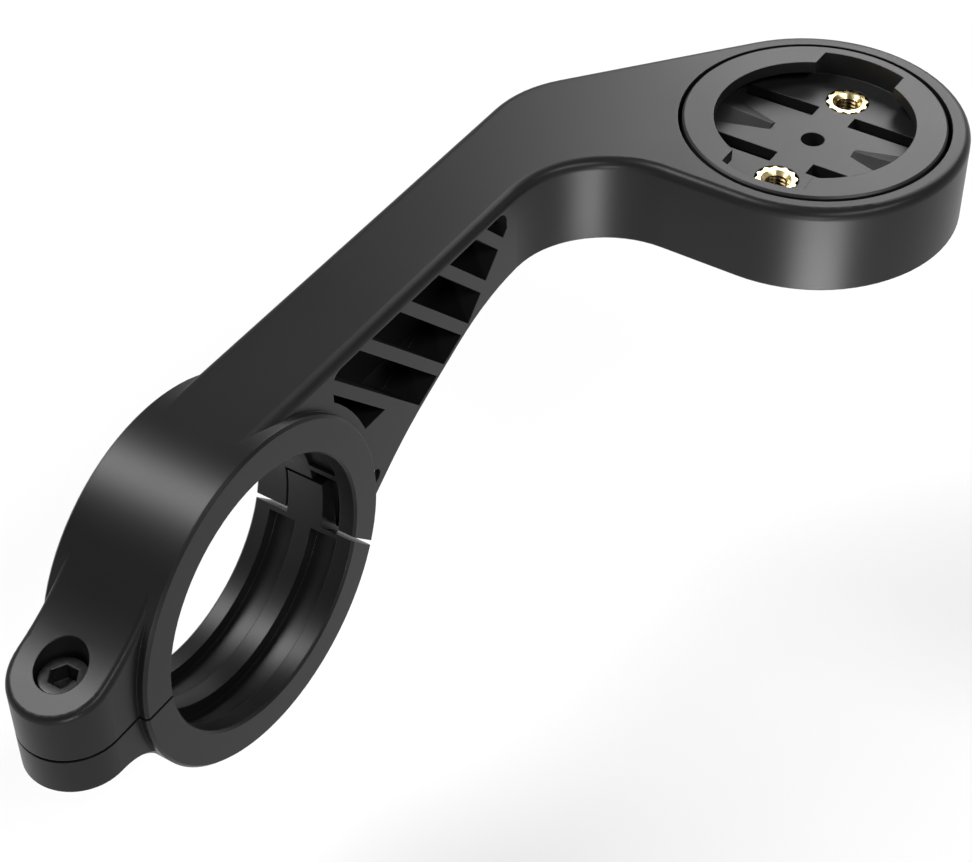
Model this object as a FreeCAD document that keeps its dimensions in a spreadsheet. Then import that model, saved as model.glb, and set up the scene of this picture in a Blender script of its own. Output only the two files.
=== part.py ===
import FreeCAD, Part
import math
import os
import re

import Sketcher
from FreeCAD import Placement, Rotation, Vector

# Out-front bike computer mount. The origin is the centre of the handlebar bore, +X points forward
# to the computer, +Y to the rider's left along the bar, and +Z up. Lengths in mm, angles in degrees.

os.makedirs("parts", exist_ok=True)
doc = FreeCAD.newDocument("BikeComputerMount")

# Driving dimensions: name, value and what it is.
SIZES = {
    "bore_radius": (17.5, "handlebar bore"),
    "ring_wall": (4.7, "wall of the clamp ring"),
    "ring_width": (15.1, "clamp ring along the bar"),
    "ring_proud": (1.2, "ring proud of the arm at each side"),
    "ring_edge": (0.35, "chamfer on the outer edges of the ring"),
    "bore_chamfer": (0.3, "lead-in at both rims of the bore"),
    "rim_land": (2.4, "land at each rim, outside the shim grooves"),
    "mid_land": (2.3, "land between the two shim grooves"),
    "arm_groove_depth": (0.6, "shim groove in the upper half"),
    "arm_groove_end": (12, "angle above level where the upper grooves end"),
    "jaw_groove_depth": (1.9, "shim groove in the jaw"),
    "jaw_groove_end": (21.5, "angle below level where the jaw's grooves end"),
    "relief_height": (2.7, "top of the relief beside the tongue"),
    "relief_depth": (1.7, "relief beside the tongue, at level"),
    "split_drop": (0.7, "rear split below the bore's centre"),
    "split_gap": (0.4, "gap between the two lugs"),
    "hinge_split_angle": (18, "angle below level where the front split meets the bore"),
    "hinge_face_slope": (45, "slope of the front split faces"),
    "hinge_split_gap": (0.6, "gap between the front split faces"),
    "edge_round": (1.3, "round on the arm's top edges"),
    "right_bend": (13.5, "radius of the bend on the right side"),
    "left_bend": (16, "radius of the bend on the left side"),
    "splay": (39.3, "turn of the left side toward the head"),
    "slope_reach": (7.7, "underside: foot of the slope, forward of the hinge bar"),
    "slope_z": (1.2, "underside: foot of the slope, above the bore's centre"),
    "slope_angle": (25, "slope of the underside"),
    "tail_angle": (36.9, "slope of the tail under the hinge bar"),
    "belly_round": (32, "radius where the slope runs level"),
    "knee_round": (50, "radius between tail and slope"),
    "head_forward": (89.8, "head centre, forward of the bore"),
    "head_aside": (30.84, "head centre, to the right"),
    "head_wall": (2.45, "wall of the head outside the gap round the puck"),
    "head_depth": (12.45, "head, top to bottom"),
    "head_base_edge": (0.35, "chamfer along the bottom edge of the arm and the head"),
    "window_reach": (6.3, "rear edge of the first window where it would meet level, forward of the ring"),
    "window_pitch": (8.28, "window spacing along the arm"),
    "window_width": (5.95, "window along the arm"),
    "window_lean": (45, "lean of the ribs"),
    "window_start": (5.8, "rear end of the window field, behind the front of the ring"),
    "window_end": (53.8, "front end of the window field"),
    "window_top": (1.4, "skin above the windows"),
    "window_skin": (0.9, "skin under the windows"),
    "window_low": (8.3, "lower end of the first window"),
    "window_ring_skin": (1.3, "skin between ring and windows"),
    "window_web": (1.6, "centre web between the two sides' windows"),
    "window_round": (1.8, "round at the upper corners of the field"),
    "hook_reach": (0.5, "hinge bar, forward of the ring"),
    "hook_drop": (3.0, "hinge bar, below the bore's centre"),
    "bar_radius": (1.15, "hinge bar"),
    "hinge_play": (0.06, "radial play of the hook on its bar"),
    "hook_wall": (2.44, "wall of the hook"),
    "hook_gap": (0.4, "gap round the hook and over the tongue"),
    "hook_nose": (10, "angle above level where the hook's nose ends"),
    "tongue_width": (5.2, "tongue along the bar"),
    "tongue_gap": (0.3, "gap at each side of the tongue"),
    "tail_cover": (0.12, "tail below the hinge bar"),
    "tongue_root": (24, "angle below level where the tongue leaves the ring"),
    "tongue_heel": (1.75, "underside of the tongue at the hook, below the hinge bar's centre"),
    "cheek_wall": (0.8, "wall at each end of the hinge bar"),
    "peep_radius": (1.05, "core hole in each cheek"),
    "peep_reach": (0.65, "core hole, forward of the hinge bar"),
    "peep_drop": (0.7, "core hole, below the bore's centre"),
    "bolt_reach": (4.0, "clamp bolt, behind the ring"),
    "lug_top": (5.9, "top of the upper lug at its round end"),
    "lug_top_slope": (15, "slope of its top there"),
    "lug_top_hollow": (26, "radius of the hollow between the upper lug and the ring"),
    "lug_base": (6.3, "bottom of the lower lug"),
    "lug_base_slope": (0, "slope of its bottom"),
    "lug_base_hollow": (7, "radius of the hollow between the lower lug and the ring"),
    "hollow_bite": (0.01, "depth of the hollows' ends in the ring"),
    "hollow_run": (0.4, "straight run of the lugs past the hollows, inside the ring"),
    "lug_top_edge": (0.9, "round on the upper lug's edges"),
    "lug_base_edge": (0.4, "chamfer on the lower lug's edges"),
    "bolt_seat": (2.0, "floor of the counterbore"),
    "bolt_seat_gap": (0.3, "gap under the bolt's head"),
    "bolt_head_radius": (3.0, "small socket head"),
    "bolt_head_height": (3.9, "socket head"),
    "bolt_head_edge": (0.3, "chamfer on the head"),
    "bolt_head_gap": (0.15, "gap round the head"),
    "bolt_shank_radius": (1.95, "plain shank"),
    "bolt_shank_length": (2.6, "plain shank"),
    "bolt_shank_gap": (0.3, "gap round the shank in the arm"),
    "bolt_thread_radius": (1.62, "root of the thread"),
    "bolt_length": (8.0, "bolt under its head"),
    "bolt_hex": (3.0, "hexagon across flats"),
    "bolt_hex_depth": (2.2, "hexagon"),
    "jaw_insert_sink": (0.5, "top of the insert below the lower lug's face"),
    "jaw_insert_radius": (2.9, "threaded insert in the lower lug"),
    "jaw_insert_length": (4.6, "threaded insert in the lower lug"),
    "jaw_insert_flange": (3.5, "radius of its flange"),
    "jaw_insert_flange_height": (0.8, "its flange"),
    "jaw_insert_bore": (2.05, "radius of its bore"),
    "press_play": (0.02, "radial play of pressed pieces as modelled"),
    "puck_wall": (1.5, "wall of the puck outside its notches"),
    "puck_gap": (0.55, "round gap between puck and head"),
    "puck_proud": (0.2, "puck above the arm's top"),
    "puck_edge": (0.25, "chamfer on the puck's edges"),
    "cup_floor_wall": (2.85, "floor of the head's cup"),
    "mouth_radius": (13.1, "quarter-turn opening"),
    "notch_radius": (15.7, "notches and the channel under the lip"),
    "notch_width": (11.5, "notches for the computer's tabs"),
    "lip_height": (1.65, "lip over the channel"),
    "channel_height": (1.7, "channel for the tabs"),
    "puck_floor": (1.6, "floor of the puck"),
    "slot_inner": (4.9, "slots of the puck's floor, near side from the middle"),
    "slot_outer": (7.2, "slots of the puck's floor, far side from the middle"),
    "slot_start": (2.6, "slots of the puck's floor, inner end"),
    "slot_end": (13.5, "slots of the puck's floor, outer end"),
    "ridge_start": (5.9, "inner end of the click ridge"),
    "ridge_low": (0.35, "height of the click ridge at its inner end"),
    "ridge_high": (1.0, "height of the click ridge at the wall"),
    "ridge_narrow": (0.9, "half width of the click ridge at its inner end"),
    "ridge_wide": (3.9, "half width of the click ridge at the wall"),
    "insert_pitch": (20.5, "distance between the two accessory inserts"),
    "insert_radius": (2.1, "accessory insert"),
    "insert_length": (5.0, "accessory insert"),
    "insert_flange": (2.85, "tips of its serrated flange"),
    "insert_flange_root": (2.5, "roots of its serrated flange"),
    "insert_flange_height": (0.6, "its serrated flange"),
    "insert_lip": (2.0, "countersink at its mouth"),
    "insert_bore": (1.3, "radius of its bore"),
    "boss_radius": (3.6, "bosses under the puck's floor"),
    "boss_seat": (0.8, "depth of the recesses that locate the bosses"),
    "boss_play": (0.15, "radial play of the bosses in their recesses"),
    "accessory_hole": (1.7, "radius of the holes under the inserts"),
    "centre_hole": (1.55, "radius of the hole in the middle of the puck"),
    "centre_boss": (3.2, "middle boss under the puck's floor"),
    "screw_radius": (1.5, "puck screw"),
    "screw_length": (4.5, "puck screw under its head"),
    "screw_head_radius": (2.8, "puck screw"),
    "screw_head_height": (1.6, "puck screw"),
    "screw_hex": (2.0, "hexagon across flats"),
    "screw_hex_depth": (1.0, "hexagon"),
    "screw_sink": (0.25, "screw head inside the head's bottom face"),
    "screw_play": (0.2, "radial play of the screw in the head"),
}
WINDOWS = 6
FLANGE_POINTS = 12
FAR = 150  # beyond every face of the mount
OVER = 1  # cuts run this far past a face
START = 10  # where the points of a sketch lie until their formulas place them

# Dimensions that follow from the driving ones.
DERIVED = {
    "ring_radius": ("bore_radius + ring_wall", "clamp ring"),
    "arm_width": ("ring_width - 2 * ring_proud", "arm and lugs along the bar"),
    "bolt_back": ("ring_radius + bolt_reach", "clamp bolt, behind the bore"),
    "hook_x": ("ring_radius + hook_reach", "hinge bar, forward of the bore"),
    "peep_x": ("hook_x + peep_reach", "core hole, forward of the bore"),
    "slope_x": ("hook_x + slope_reach", "foot of the slope, forward of the bore"),
    "window_first": ("ring_radius + window_reach", "rear edge of the first window"),
    "puck_radius": ("notch_radius + puck_wall", "quarter-turn puck"),
    "head_radius": ("puck_radius + puck_gap + head_wall", "head"),
}

sheet = doc.addObject("Spreadsheet::Sheet", "Sizes")
for row, (alias, (content, meaning)) in enumerate([*SIZES.items(), *DERIVED.items()], start=1):
    sheet.set(f"A{row}", meaning)
    sheet.set(f"B{row}", f"={content}")
    sheet.setAlias(f"B{row}", alias)
doc.recompute()

# Places that several pieces share, as formulas of the sizes.
HEAD_TOP = "ring_radius"
PUCK_TOP = f"({HEAD_TOP} + puck_proud)"
PUCK_FLOOR_TOP = f"({PUCK_TOP} - lip_height - channel_height)"
HEAD_BASE = f"({HEAD_TOP} - head_depth)"
CUP_FLOOR = f"({HEAD_BASE} + cup_floor_wall)"
HOOK_RADIUS = "(bar_radius + hinge_play + hook_wall)"
TAIL_BASE = "(-hook_drop - bar_radius - tail_cover)"
LUG_END = "(bolt_back + arm_width / 2)"
CUP_DEPTH = f"({PUCK_FLOOR_TOP} - {CUP_FLOOR})"
TONGUE_TOP = f"({HOOK_RADIUS} - hook_drop)"
JAW_INSERT_TOP = "(-split_drop - split_gap / 2 - jaw_insert_sink)"
SCREW_SEAT = f"({HEAD_BASE} + screw_sink + screw_head_height)"
GROOVE_SPAN = ("mid_land / 2", "(ring_width / 2 - rim_land)")


AXIS_Y = Vector(0, 1, 0)
AXIS_Z = Vector(0, 0, 1)


def value(name):
    """The number in the sheet for one size."""
    return float(sheet.get(name))


def sized(formula):
    """A formula with each size pointed at its cell of the sheet."""
    def cell(word):
        return f"Sizes.{word[0]}" if word[0] in SIZES or word[0] in DERIVED else word[0]

    return re.sub(r"[a-z_]+", cell, str(formula))


def bind(thing, formulas):
    """Tie properties of an object to formulas of the sizes."""
    for name, formula in formulas.items():
        thing.setExpression(name, sized(formula))


def new_body(name, x=0, y=0, z=0):
    """A body with its own origin, placed in the mount's frame."""
    body = doc.addObject("PartDesign::Body", name)
    bind(body, {"Placement.Base.x": x, "Placement.Base.y": y, "Placement.Base.z": z})
    return body


def new_sketch(body, name, role, offset=0):
    """A sketch on one of the body's origin planes, moved along the plane's normal."""
    sketch = body.newObject("Sketcher::SketchObject", name)
    plane = next(feature for feature in body.Origin.OriginFeatures if feature.Role == role)
    sketch.AttachmentSupport = [(plane, "")]
    sketch.MapMode = "FlatFace"
    bind(sketch, {"AttachmentOffset.Base.z": offset})
    return sketch


def hold_point(sketch, geometry, point, start, across, up):
    """Fix a point of a sketch at two coordinates given as formulas."""
    for kind, first, formula in (("DistanceX", start.x, across), ("DistanceY", start.y, up)):
        index = sketch.addConstraint(Sketcher.Constraint(kind, geometry, point, first))
        sketch.setExpression(f"Constraints[{index}]", sized(formula))


def polygon(sketch, corners):
    """A closed outline through corners, each given as two formulas."""
    first = sketch.GeometryCount
    count = len(corners)
    turns = [Rotation(AXIS_Z, 360 * step / count) for step in range(count)]
    ring = [turn_by.multVec(Vector(START, 0, 0)) for turn_by in turns]
    for step in range(count):
        sketch.addGeometry(Part.LineSegment(ring[step], ring[(step + 1) % count]), False)
    for step in range(count):
        follower = first + (step + 1) % count
        sketch.addConstraint(Sketcher.Constraint("Coincident", first + step, 2, follower, 1))
    for step, (across, up) in enumerate(corners):
        hold_point(sketch, first + step, 1, ring[step], across, up)


def rectangle(sketch, left, right, low, high):
    """A closed rectangle between four formulas."""
    polygon(sketch, [(left, low), (right, low), (right, high), (left, high)])


def circle(sketch, across, up, radius):
    """A circle with its centre and radius given as formulas."""
    start = Vector(START, START, 0)
    index = sketch.addGeometry(Part.Circle(start, AXIS_Z, START), False)
    hold_point(sketch, index, 3, start, across, up)
    radius_index = sketch.addConstraint(Sketcher.Constraint("Radius", index, START))
    sketch.setExpression(f"Constraints[{radius_index}]", sized(radius))


def pad(body, name, sketch, length, side="One side", reverse=False):
    """Material along the sketch's normal."""
    feature = body.newObject("PartDesign::Pad", name)
    feature.Profile = sketch
    feature.SideType = side
    feature.Reversed = reverse
    bind(feature, {"Length": length})
    return feature


def pocket(body, name, sketch, length, side="One side", reverse=False):
    """A cut against the sketch's normal, or along it when reversed."""
    feature = body.newObject("PartDesign::Pocket", name)
    feature.Profile = sketch
    feature.SideType = side
    feature.Reversed = reverse
    bind(feature, {"Length": length})
    return feature


def turn(body, kind, name, sketch, angle, axis, midplane=False):
    """A revolution or groove about one of the sketch's axes."""
    feature = body.newObject(kind, name)
    feature.Profile = sketch
    feature.ReferenceAxis = (sketch, [axis])
    feature.Midplane = midplane
    bind(feature, {"Angle": angle})
    return feature


def edges_where(feature, wanted):
    """Names of the feature's edges that pass a test."""
    doc.recompute()
    return [f"Edge{index}" for index, edge in enumerate(feature.Shape.Edges, start=1) if wanted(edge)]


def dress(body, kind, name, base, wanted, size_name, formula):
    """A fillet or chamfer on the edges of a feature that pass a test."""
    names = edges_where(base, wanted)
    if not names:
        raise ValueError(f"{name}: no edge found")
    feature = body.newObject(kind, name)
    feature.Base = (base, names)
    bind(feature, {size_name: formula})
    return feature


def fillet(body, name, base, wanted, radius):
    return dress(body, "PartDesign::Fillet", name, base, wanted, "Radius", radius)


def chamfer(body, name, base, wanted, size):
    return dress(body, "PartDesign::Chamfer", name, base, wanted, "Size", size)


def is_along(edge, axis):
    """True for a straight edge along an axis of the mount's frame."""
    if edge.Curve.TypeId != "Part::GeomLine":
        return False
    return abs(edge.tangentAt(edge.FirstParameter).dot(axis)) > 0.999


def is_ring(edge, radius, tolerance=0.01):
    """True for a round edge of one radius."""
    return edge.Curve.TypeId == "Part::GeomCircle" and abs(edge.Curve.Radius - radius) < tolerance


def is_level(edge, height, tolerance=0.01):
    """True for an edge that lies at one height."""
    return abs(edge.BoundBox.ZMin - height) < tolerance and abs(edge.BoundBox.ZMax - height) < tolerance


def underside_corners(lift):
    """Region under the arm: tail, slope and level run, lifted by a skin measured square to each."""
    slope_rise = f"{lift} / cos(slope_angle)"
    tail_rise = f"{lift} / cos(tail_angle)"
    level = f"{HEAD_BASE} + {lift}"
    meet = f"(({slope_rise}) - ({tail_rise})) / (tan(tail_angle) - tan(slope_angle))"
    knee = (f"slope_x + {meet}", f"slope_z + {slope_rise} + tan(slope_angle) * {meet}")
    run = (f"slope_x + ({level} - slope_z - {slope_rise}) / tan(slope_angle)", level)
    tail_z = f"({TAIL_BASE} - {OVER})"
    tail = (f"slope_x - (slope_z + {tail_rise} - {tail_z}) / tan(tail_angle)", tail_z)
    return [tail, knee, run, (FAR, level), (FAR, -FAR), (tail[0], -FAR)]


def round_underside(body, feature, lift, knee=True):
    """Rounds the long bend of the underside, and the knee below the hinge when asked."""
    run_height = value("ring_radius") - value("head_depth") + lift
    bend_x = value("head_forward") - value("head_radius") - value("right_bend")
    run = fillet(
        body, f"{feature.Name}Belly", feature,
        lambda edge: is_along(edge, AXIS_Y) and is_level(edge, run_height) and edge.BoundBox.XMax < bend_x,
        "belly_round",
    )
    if not knee:
        return run
    knee_x = value("slope_x")
    return fillet(
        body, f"{feature.Name}Knee", run,
        lambda edge: is_along(edge, AXIS_Y)
        and abs(edge.BoundBox.XMin - knee_x) < 1 + lift
        and abs(edge.BoundBox.ZMin - value("slope_z") - lift) < 1 + lift,
        "knee_round",
    )


def split_corners(lug_gap, hinge_gap, side):
    """Region below (side -1) or above (side 1) the split, with each face set back by half its gap."""
    toward = "-" if side > 0 else "+"
    bore = (
        f"bore_radius * cos(hinge_split_angle) {toward} ({hinge_gap}) * sin(hinge_face_slope)",
        f"-bore_radius * sin(hinge_split_angle) {toward} ({hinge_gap}) * cos(hinge_face_slope)",
    )
    along = ("cos(hinge_face_slope)", "-sin(hinge_face_slope)")
    rear_height = f"-split_drop {toward} ({lug_gap})"
    return [
        (f"-{FAR}", rear_height),
        (0, rear_height),
        (f"{bore[0]} - {along[0]}", f"{bore[1]} - ({along[1]})"),
        (f"{bore[0]} + ring_width * {along[0]}", f"{bore[1]} + ring_width * ({along[1]})"),
        (f"{bore[0]} + ring_width * {along[0]}", side * FAR),
        (f"-{FAR}", side * FAR),
    ]


def round_ended_slot(sketch, radius, half):
    """A slot through the sketch's origin whose two ends lie on one circle."""
    reach, rise = 15.0, 6.0
    arc = math.asin(rise / reach)
    level = reach * math.cos(arc)
    origin = Part.Circle(Vector(), AXIS_Z, reach)
    right = sketch.addGeometry(Part.ArcOfCircle(origin, -arc, arc), False)
    upper = sketch.addGeometry(Part.LineSegment(Vector(level, rise), Vector(-level, rise)), False)
    left = sketch.addGeometry(Part.ArcOfCircle(origin, math.pi - arc, math.pi + arc), False)
    lower = sketch.addGeometry(Part.LineSegment(Vector(-level, -rise), Vector(level, -rise)), False)
    for first, second in ((right, upper), (upper, left), (left, lower), (lower, right)):
        sketch.addConstraint(Sketcher.Constraint("Coincident", first, 2, second, 1))
    for arc_end in (right, left):
        sketch.addConstraint(Sketcher.Constraint("Coincident", arc_end, 3, -1, 1))
    sketch.addConstraint(Sketcher.Constraint("Equal", right, left))
    index = sketch.addConstraint(Sketcher.Constraint("Radius", right, reach))
    sketch.setExpression(f"Constraints[{index}]", sized(radius))
    for line, sign in ((upper, 1), (lower, -1)):
        sketch.addConstraint(Sketcher.Constraint("Horizontal", line))
        index = sketch.addConstraint(Sketcher.Constraint("DistanceY", line, 1, sign * rise))
        sketch.setExpression(f"Constraints[{index}]", sized(f"{sign} * ({half})"))


def add_ring(body, name):
    """The clamp ring as a full disc with its outer edges chamfered; the bore is cut later."""
    ring = new_sketch(body, "RingProfile", "XZ_Plane")
    circle(ring, 0, 0, "ring_radius")
    ring_pad = pad(body, name, ring, "ring_width", "Symmetric")
    rim = value("ring_width") / 2
    chamfer(
        body, f"{name}Edges", ring_pad,
        lambda edge: is_ring(edge, value("ring_radius")) and abs(abs(edge.BoundBox.YMin) - rim) < 0.01,
        "ring_edge",
    )


def add_lug(body, name, height, slope, hollow, side):
    """A lug with a round end, whose outer face rises to the ring in a hollow. The ring covers its root."""
    core = new_sketch(body, "CoreProfile", "XZ_Plane")
    circle(core, 0, 0, "bore_radius + ring_wall / 2")
    pad(body, f"{name}Core", core, "arm_width", "Symmetric")

    # Along and out from the bore, square to the lug's outer face: the corner that the hollow rounds,
    # and a point past the place where the line from that corner touches the ring.
    out = f"(({height} + {LUG_END} * tan({slope})) * cos({slope}))"
    touch = "(ring_radius - hollow_bite)"
    angle = f"asin(({out} + {hollow}) / ({touch} + {hollow}))"
    drop = f"(({touch} * sin({angle}) - {out}) / cos({angle}))"
    corner = (f"(-{touch} * cos({angle}) - {drop} * sin({angle}))", out)
    past = (
        f"(-{touch} * cos({angle}) + hollow_run * sin({angle}))",
        f"({touch} * sin({angle}) + hollow_run * cos({angle}))",
    )
    turned = [
        (
            f"{point[0]} * cos({slope}) - {point[1]} * sin({slope})",
            f"{side} * ({point[0]} * sin({slope}) + {point[1]} * cos({slope}))",
        )
        for point in (corner, past)
    ]
    profile = new_sketch(body, "LugProfile", "XZ_Plane")
    polygon(profile, [
        (f"-{LUG_END}", "-split_drop"),
        (f"-{LUG_END}", f"{side} * {height}"),
        *turned,
        ("-bore_radius / 2", turned[1][1]),
        ("-bore_radius / 2", "-split_drop"),
    ])
    lug = pad(body, name, profile, "arm_width", "Symmetric")
    fillet(
        body, f"{name}Hollow", lug,
        lambda edge: is_along(edge, AXIS_Y)
        and -value("bolt_back") < edge.BoundBox.XMin < 0
        and math.hypot(edge.BoundBox.XMin, edge.BoundBox.ZMin) > value("ring_radius"),
        hollow,
    )
    plan = new_sketch(body, "LugEndPlan", "XY_Plane")
    outside_round_end(plan)
    return pocket(body, f"{name}End", plan, FAR, "Symmetric")


def outside_round_end(sketch):
    """The region round a lug's end, outside a half circle about the clamp bolt."""
    radius = 6.0
    centre = Vector(-START, 0, 0)
    half_circle = Part.Circle(centre, AXIS_Z, radius)
    arc = sketch.addGeometry(Part.ArcOfCircle(half_circle, math.pi / 2, 3 * math.pi / 2), False)
    ring = [
        Vector(-START, -radius, 0),
        Vector(-START, -2 * START, 0),
        Vector(-3 * START, -2 * START, 0),
        Vector(-3 * START, 2 * START, 0),
        Vector(-START, 2 * START, 0),
        Vector(-START, radius, 0),
    ]
    for first, second in zip(ring, ring[1:]):
        sketch.addGeometry(Part.LineSegment(first, second), False)
    for step in range(arc, arc + len(ring) - 1):
        sketch.addConstraint(Sketcher.Constraint("Coincident", step, 2, step + 1, 1))
    sketch.addConstraint(Sketcher.Constraint("Coincident", arc + len(ring) - 1, 2, arc, 1))
    hold_point(sketch, arc, 3, centre, "-bolt_back", 0)
    hold_point(sketch, arc, 1, ring[-1], "-bolt_back", "arm_width / 2")
    index = sketch.addConstraint(Sketcher.Constraint("DistanceX", arc, 2, -START))
    sketch.setExpression(f"Constraints[{index}]", sized("-bolt_back"))
    far = f"-{LUG_END} - {OVER}"
    corners = [("-bolt_back", "-arm_width"), (far, "-arm_width"), (far, "arm_width"), ("-bolt_back", "arm_width")]
    for step, corner in enumerate(corners, start=1):
        hold_point(sketch, arc + step, 2, ring[step], *corner)


def is_lug_edge(edge, height, side):
    """True for an edge of the outer face of a lug at its round end."""
    outer = min(side * edge.BoundBox.ZMin, side * edge.BoundBox.ZMax) > height - 0.01
    return outer and edge.BoundBox.XMax < 0.01 - value("bolt_back")


def make_arm_body():
    """The arm moulding without its windows: beam, head, upper clamp half, hinge bar and lug."""
    body = new_body("ArmMoulding")

    # Beam: plan outline from the bore's crown to the head, with both sides tangent to the head.
    plan = new_sketch(body, "BeamPlan", "XY_Plane", HEAD_TOP)
    side = "arm_width / 2"
    touch = ("head_forward + head_radius * sin(splay)", "head_radius * cos(splay) - head_aside")
    bend = f"head_forward + (head_radius - (head_aside + {side}) * cos(splay)) / sin(splay)"
    polygon(plan, [
        (0, f"-{side}"),
        ("head_forward - head_radius", f"-{side}"),
        ("head_forward - head_radius", "-head_aside"),
        ("head_forward", "-head_aside"),
        touch,
        (bend, side),
        (0, side),
    ])
    beam = pad(body, "Beam", plan, f"{HEAD_TOP} - {TAIL_BASE}", reverse=True)
    half = value("arm_width") / 2
    right = fillet(
        body, "RightBend", beam,
        lambda edge: is_along(edge, AXIS_Z)
        and abs(edge.BoundBox.XMin - value("head_forward") + value("head_radius")) < 0.1
        and abs(edge.BoundBox.YMin + half) < 0.1,
        "right_bend",
    )
    left = fillet(
        body, "LeftBend", right,
        lambda edge: is_along(edge, AXIS_Z)
        and edge.BoundBox.XMin > value("right_bend")
        and abs(edge.BoundBox.YMin - half) < 0.1,
        "left_bend",
    )
    under = new_sketch(body, "UndersideProfile", "XZ_Plane")
    polygon(under, underside_corners("0"))
    round_underside(body, pocket(body, "Underside", under, FAR, "Symmetric"), 0)

    head = new_sketch(body, "HeadPlan", "XY_Plane", HEAD_TOP)
    circle(head, "head_forward", "-head_aside", "head_radius")
    head_pad = pad(body, "Head", head, "head_depth", reverse=True)
    doc.recompute()
    head_top = value("ring_radius")
    top_edges = fillet(
        body, "TopEdges", head_pad,
        lambda edge: is_level(edge, head_top) and not is_along(edge, AXIS_Y), "edge_round",
    )
    head_base = head_top - value("head_depth")
    chamfer(
        body, "HeadBaseEdge", top_edges,
        lambda edge: is_ring(edge, value("head_radius")) and is_level(edge, head_base), "head_base_edge",
    )

    # Room for the hook between the two cheeks, before the ring's wall goes in.
    room = new_sketch(body, "HookRoomProfile", "XZ_Plane")
    circle(room, "hook_x", "-hook_drop", f"{HOOK_RADIUS} + hook_gap")
    pocket(body, "HookRoom", room, "arm_width - 2 * cheek_wall", "Symmetric")
    peep = new_sketch(body, "PeepProfile", "XZ_Plane")
    circle(peep, "peep_x", "-peep_drop", "peep_radius")
    pocket(body, "PeepHoles", peep, f"arm_width + 2 * {OVER}", "Symmetric")

    # Rear lug and clamp ring.
    lug = add_lug(body, "Lug", "lug_top", "lug_top_slope", "lug_top_hollow", 1)
    fillet(body, "LugEdges", lug, lambda edge: is_lug_edge(edge, value("lug_top"), 1), "lug_top_edge")
    add_ring(body, "Ring")

    # Bore, shim grooves and the split from the jaw.
    bore = new_sketch(body, "BoreProfile", "XZ_Plane")
    circle(bore, 0, 0, "bore_radius")
    pocket(body, "Bore", bore, "2 * ring_width", "Symmetric")
    below = new_sketch(body, "SplitProfile", "XZ_Plane")
    polygon(below, split_corners("split_gap / 2", "hinge_split_gap / 2", -1))
    pocket(body, "Split", below, "2 * ring_width", "Symmetric")
    grooves = new_sketch(body, "GrooveProfile", "YZ_Plane")
    for near, far in (GROOVE_SPAN, tuple(f"-{edge}" for edge in reversed(GROOVE_SPAN))):
        rectangle(grooves, near, far, f"bore_radius - {OVER}", "bore_radius + arm_groove_depth")
    turn(body, "PartDesign::Groove", "ShimGrooves", grooves, "180 - 2 * arm_groove_end", "H_Axis", True)
    relief = new_sketch(body, "ReliefPlan", "XY_Plane", "relief_height")
    relief_span = [f"-{edge}" for edge in reversed(GROOVE_SPAN)]
    rectangle(relief, "bore_radius - ring_wall", "bore_radius + relief_depth", *relief_span)
    pocket(body, "Relief", relief, "ring_width")

    # Notch for the tongue, and the bar that its hook turns on.
    notch = new_sketch(body, "NotchProfile", "XZ_Plane")
    rectangle(notch, "bore_radius - ring_wall", "hook_x", "-ring_width", f"{TONGUE_TOP} + hook_gap")
    notch_cut = pocket(body, "Notch", notch, "tongue_width + 2 * tongue_gap", "Symmetric")
    rim = value("ring_width") / 2
    chamfer(
        body, "BoreRims", notch_cut,
        lambda edge: is_ring(edge, value("bore_radius")) and abs(abs(edge.BoundBox.YMin) - rim) < 0.01,
        "bore_chamfer",
    )
    bar = new_sketch(body, "BarProfile", "XZ_Plane")
    circle(bar, "hook_x", "-hook_drop", "bar_radius")
    pad(body, "HingeBar", bar, "arm_width - cheek_wall", "Symmetric")

    # Clamp bolt: counterbore above its seat and clearance below it.
    mouth = new_sketch(body, "CounterborePlan", "XY_Plane", "bolt_seat")
    circle(mouth, "-bolt_back", 0, "bolt_head_radius + bolt_head_gap")
    pocket(body, "Counterbore", mouth, "ring_width", reverse=True)
    hole = new_sketch(body, "BoltHolePlan", "XY_Plane", "bolt_seat")
    circle(hole, "-bolt_back", 0, "bolt_shank_radius + bolt_shank_gap")
    pocket(body, "BoltHole", hole, "ring_width")

    # Cup for the puck, with recesses for its bosses and holes for the screws from below.
    cup = new_sketch(body, "CupPlan", "XY_Plane", HEAD_TOP)
    circle(cup, "head_forward", "-head_aside", "puck_radius + puck_gap")
    pocket(body, "Cup", cup, f"{HEAD_TOP} - {CUP_FLOOR}")
    seats = new_sketch(body, "BossSeatPlan", "XY_Plane", CUP_FLOOR)
    holes = new_sketch(body, "AccessoryHolePlan", "XY_Plane", CUP_FLOOR)
    for sign in ("+", "-"):
        circle(seats, f"head_forward {sign} insert_pitch / 2", "-head_aside", "boss_radius + boss_play")
        circle(holes, f"head_forward {sign} insert_pitch / 2", "-head_aside", "accessory_hole")
    circle(holes, "head_forward", "-head_aside", "screw_radius + screw_play")
    pocket(body, "BossSeats", seats, "boss_seat")
    pocket(body, "AccessoryHoles", holes, "2 * cup_floor_wall")
    sink = new_sketch(body, "ScrewSinkPlan", "XY_Plane", SCREW_SEAT)
    circle(sink, "head_forward", "-head_aside", "screw_head_radius + screw_play")
    pocket(body, "ScrewSink", sink, "2 * cup_floor_wall")
    return body


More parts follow.
